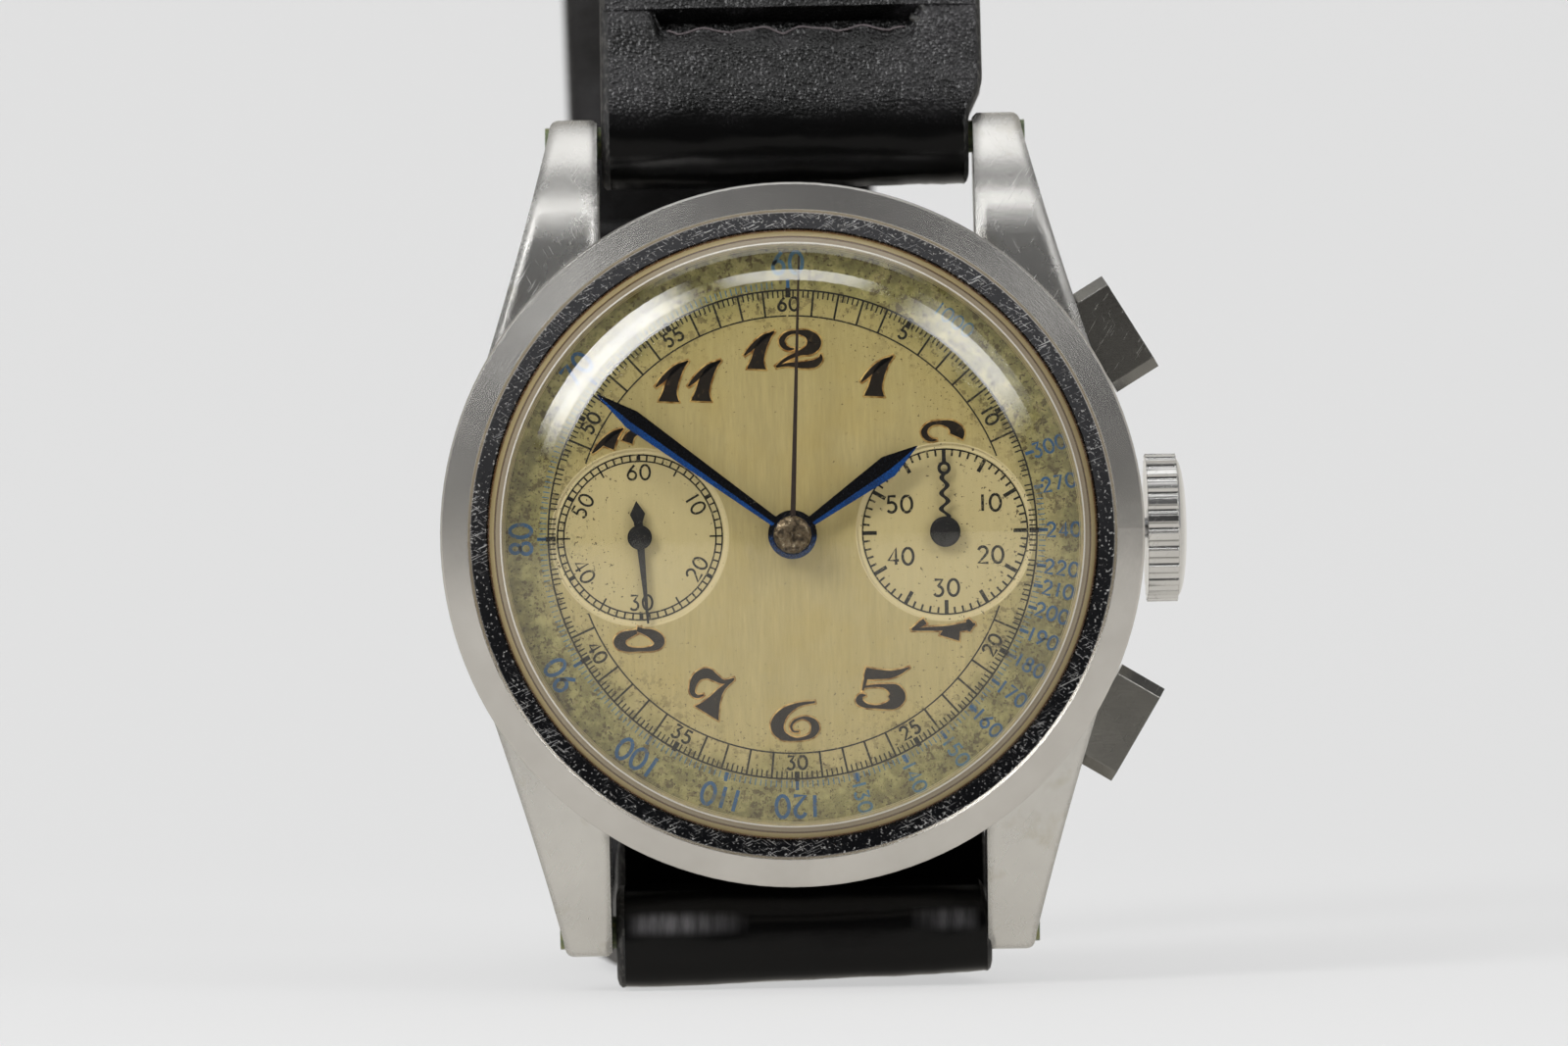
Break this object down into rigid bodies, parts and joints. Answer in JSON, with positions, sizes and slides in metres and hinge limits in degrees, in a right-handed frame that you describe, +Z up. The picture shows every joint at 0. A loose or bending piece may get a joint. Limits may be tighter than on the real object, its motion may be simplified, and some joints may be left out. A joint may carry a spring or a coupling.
{
  "type": "chronograph wristwatch",
  "caption": "Hand-wound chronograph wristwatch: round case with domed crystal, two registers, crown and rectangular pushers, on a buckled leather strap.",
  "frame": {"origin": "centre of the case back's flat outer face, on the axis of the hands", "axes": "+X to 3 o'clock and the crown, +Y out of the case back towards the wrist, +Z up to 12 o'clock; the dial faces -Y"},
  "size_m": [0.0366, 0.0542, 0.062],
  "materials": {
    "polished_steel": "polished, finely scratched",
    "brushed_steel": "brushed",
    "movement_steel": "fine grained",
    "bar_brass": "dull, verdigris",
    "acrylic": "polished, domed",
    "gasket_rubber": "matt",
    "dial_enamel": "aged champagne, printed",
    "blued_steel": "heat blued, polished",
    "black_lacquer": "black",
    "gilt_brass": "gilt",
    "rhodium_plate": "rhodium plated, striped",
    "ruby": "polished",
    "blued_spring": "blued",
    "black_leather": "grained, satin"
  },
  "bodies": {
    "head": {"case_middle": "brushed_steel", "bezel": "brushed_steel", "crystal": "acrylic", "reflector_ring": "dial_enamel", "case_back": "brushed_steel", "case_back_gasket": "gasket_rubber", "movement_ring": "gilt_brass", "case_tubes": "polished_steel", "lug_bars": "bar_brass", "start_pusher_spring": "movement_steel", "reset_pusher_spring": "movement_steel", "dial": "dial_enamel", "main_plate": "gilt_brass", "barrel_bridge": "rhodium_plate", "train_bridge": "rhodium_plate", "balance_cock": "rhodium_plate", "chronograph_bridge": "rhodium_plate", "bridge_screws": "movement_steel", "jewels": "ruby", "strap_buckle_side": "black_leather", "strap_tail_side": "black_leather", "fixed_keeper": "black_leather", "buckle_bar": "polished_steel"},
    "fourth": {"fourth_wheel": "gilt_brass", "driving_wheel": "gilt_brass", "running_seconds_hand": "black_lacquer"},
    "third": {"third_wheel": "gilt_brass"},
    "centre": {"centre_wheel": "gilt_brass"},
    "barrel": {"barrel_drum": "gilt_brass", "mainspring": "movement_steel"},
    "escape": {"escape_wheel": "movement_steel"},
    "pallet": {"pallet_fork": "movement_steel"},
    "balance": {"balance_wheel": "gilt_brass", "balance_spring": "blued_spring"},
    "minute": {"cannon_pinion": "movement_steel", "minute_hand": "blued_steel"},
    "minute_train": {"minute_wheel": "gilt_brass"},
    "hour": {"hour_wheel": "gilt_brass", "hour_hand": "blued_steel"},
    "runner": {"chronograph_runner": "gilt_brass", "chrono_seconds_hand": "blued_steel"},
    "recorder": {"minute_recorder": "gilt_brass", "minute_counter_hand": "black_lacquer"},
    "coupling_yoke": {"coupling_lever": "movement_steel"},
    "coupling_gear": {"coupling_wheel": "gilt_brass"},
    "column": {"column_wheel": "movement_steel"},
    "click_body": {"click": "movement_steel"},
    "winding": {"winding_pinion": "movement_steel"},
    "crown_body": {"crown": "polished_steel", "winding_stem": "movement_steel"},
    "crown_gear": {"crown_wheel": "movement_steel"},
    "ratchet": {"ratchet_wheel": "movement_steel", "barrel_arbor": "movement_steel"},
    "start": {"start_pusher": "polished_steel"},
    "start_lever": {"operating_lever": "movement_steel"},
    "reset": {"reset_pusher": "polished_steel"},
    "hammer": {"reset_hammer": "movement_steel"},
    "buckle": {"buckle_frame": "polished_steel"},
    "tongue": {"buckle_tongue": "polished_steel"},
    "keeper": {"free_keeper": "black_leather"}
  },
  "joints": [
    {"name": "running_seconds", "type": "hinge", "parent": "head", "child": "fourth", "pos_m": [-0.0075, -0.005, 0], "axis": [0, 1, 0], "continuous": true},
    {"name": "third_wheel_turn", "type": "hinge", "parent": "head", "child": "third", "pos_m": [-0.00403, -0.005, 0.00246], "axis": [0, 1, 0], "continuous": true},
    {"name": "centre_wheel_turn", "type": "hinge", "parent": "head", "child": "centre", "pos_m": [0, -0.005, 0], "axis": [0, 1, 0], "continuous": true},
    {"name": "barrel_turn", "type": "hinge", "parent": "head", "child": "barrel", "pos_m": [0.00293, -0.005, 0.00507], "axis": [0, 1, 0], "continuous": true},
    {"name": "escape_wheel_turn", "type": "hinge", "parent": "head", "child": "escape", "pos_m": [-0.00811, -0.005, -0.00347], "axis": [0, 1, 0], "continuous": true},
    {"name": "pallet_fork_swing", "type": "hinge", "parent": "head", "child": "pallet", "pos_m": [-0.00609, -0.005, -0.00534], "axis": [0, 1, 0], "range_deg": [-4, 4]},
    {"name": "balance_swing", "type": "hinge", "parent": "head", "child": "balance", "pos_m": [-0.003, -0.005, -0.0082], "axis": [0, 1, 0], "range_deg": [-270, 270], "stiffness_Nm_per_rad": 0.000002},
    {"name": "minute_hand_turn", "type": "hinge", "parent": "head", "child": "minute", "pos_m": [0, -0.005, 0], "axis": [0, 1, 0], "continuous": true},
    {"name": "minute_wheel_turn", "type": "hinge", "parent": "head", "child": "minute_train", "pos_m": [0.00115, -0.005, -0.00164], "axis": [0, 1, 0], "continuous": true},
    {"name": "hour_hand_turn", "type": "hinge", "parent": "head", "child": "hour", "pos_m": [0, -0.005, 0], "axis": [0, 1, 0], "continuous": true},
    {"name": "chronograph_seconds", "type": "hinge", "parent": "head", "child": "runner", "pos_m": [0, -0.005, 0], "axis": [0, 1, 0], "continuous": true},
    {"name": "chronograph_minutes", "type": "hinge", "parent": "head", "child": "recorder", "pos_m": [0.0075, -0.005, 0], "axis": [0, 1, 0], "continuous": true},
    {"name": "coupling_lever_swing", "type": "hinge", "parent": "head", "child": "coupling_yoke", "pos_m": [-0.0075, -0.005, 0], "axis": [0, 1, 0], "range_deg": [0, 1.8], "stiffness_Nm_per_rad": 0.00005},
    {"name": "coupling_wheel_turn", "type": "hinge", "parent": "coupling_yoke", "child": "coupling_gear", "pos_m": [-0.00383, -0.005, 0.00183], "axis": [0, 1, 0], "continuous": true},
    {"name": "column_wheel_turn", "type": "hinge", "parent": "head", "child": "column", "pos_m": [0.0081, -0.005, 0.0079], "axis": [0, 1, 0], "continuous": true},
    {"name": "click_lift", "type": "hinge", "parent": "head", "child": "click_body", "pos_m": [-0.00049, -0.005, 0.00886], "axis": [0, 1, 0], "range_deg": [-8, 0], "stiffness_Nm_per_rad": 0.000002},
    {"name": "crown_turn", "type": "hinge", "parent": "head", "child": "winding", "pos_m": [0, -0.0046, 0], "axis": [1, 0, 0], "continuous": true},
    {"name": "crown_pull", "type": "slide", "parent": "winding", "child": "crown_body", "axis": [1, 0, 0], "range_m": [0, 0.001]},
    {"name": "crown_wheel_turn", "type": "hinge", "parent": "head", "child": "crown_gear", "pos_m": [0.0075, -0.005, 0], "axis": [0, 1, 0], "continuous": true},
    {"name": "ratchet_wheel_turn", "type": "hinge", "parent": "head", "child": "ratchet", "pos_m": [0.00293, -0.005, 0.00507], "axis": [0, 1, 0], "continuous": true},
    {"name": "start_push", "type": "slide", "parent": "head", "child": "start", "axis": [-0.8554, 0, -0.518], "range_m": [0, 0.0008], "stiffness_N_per_m": 100},
    {"name": "operating_lever_tip", "type": "hinge", "parent": "head", "child": "start_lever", "pos_m": [0.0116, -0.005, 0.0023], "axis": [0, 1, 0], "range_deg": [-5.47, 0], "stiffness_Nm_per_rad": 0.00008},
    {"name": "reset_push", "type": "slide", "parent": "head", "child": "reset", "axis": [-0.8554, 0, 0.518], "range_m": [0, 0.0008], "stiffness_N_per_m": 100},
    {"name": "reset_hammer_tip", "type": "hinge", "parent": "head", "child": "hammer", "pos_m": [0.0055, -0.005, -0.0093], "axis": [0, 1, 0], "range_deg": [-4.47, 0], "stiffness_Nm_per_rad": 0.0004},
    {"name": "buckle_swing", "type": "hinge", "parent": "head", "child": "buckle", "pos_m": [-0.0034, 0.0361, 0], "axis": [1, 0, 0], "range_deg": [-2, 5]},
    {"name": "tongue_swing", "type": "hinge", "parent": "buckle", "child": "tongue", "pos_m": [-0.0034, 0.0361, 0], "axis": [1, 0, 0], "range_deg": [0, 6]},
    {"name": "keeper_slide", "type": "slide", "parent": "head", "child": "keeper", "axis": [0, 0, 1], "range_m": [-0.004, 0.001]}
  ],
  "couplings": [
    {"joint": "third_wheel_turn", "follows": "running_seconds", "ratio": -0.13333},
    {"joint": "centre_wheel_turn", "follows": "running_seconds", "ratio": 0.016667},
    {"joint": "barrel_turn", "follows": "running_seconds", "ratio": -0.0025641},
    {"joint": "escape_wheel_turn", "follows": "running_seconds", "ratio": -10},
    {"joint": "coupling_wheel_turn", "follows": "running_seconds", "ratio": -2.4167},
    {"joint": "minute_wheel_turn", "follows": "minute_hand_turn", "ratio": -0.33333},
    {"joint": "hour_hand_turn", "follows": "minute_hand_turn", "ratio": 0.083333},
    {"joint": "chronograph_minutes", "follows": "chronograph_seconds", "ratio": 0.016667},
    {"joint": "crown_wheel_turn", "follows": "crown_turn", "ratio": 0.46667},
    {"joint": "ratchet_wheel_turn", "follows": "crown_turn", "ratio": -0.38889},
    {"joint": "operating_lever_tip", "follows": "start_push", "rad_per_m": -119.12},
    {"joint": "reset_hammer_tip", "follows": "reset_push", "rad_per_m": -97.375}
  ]
}
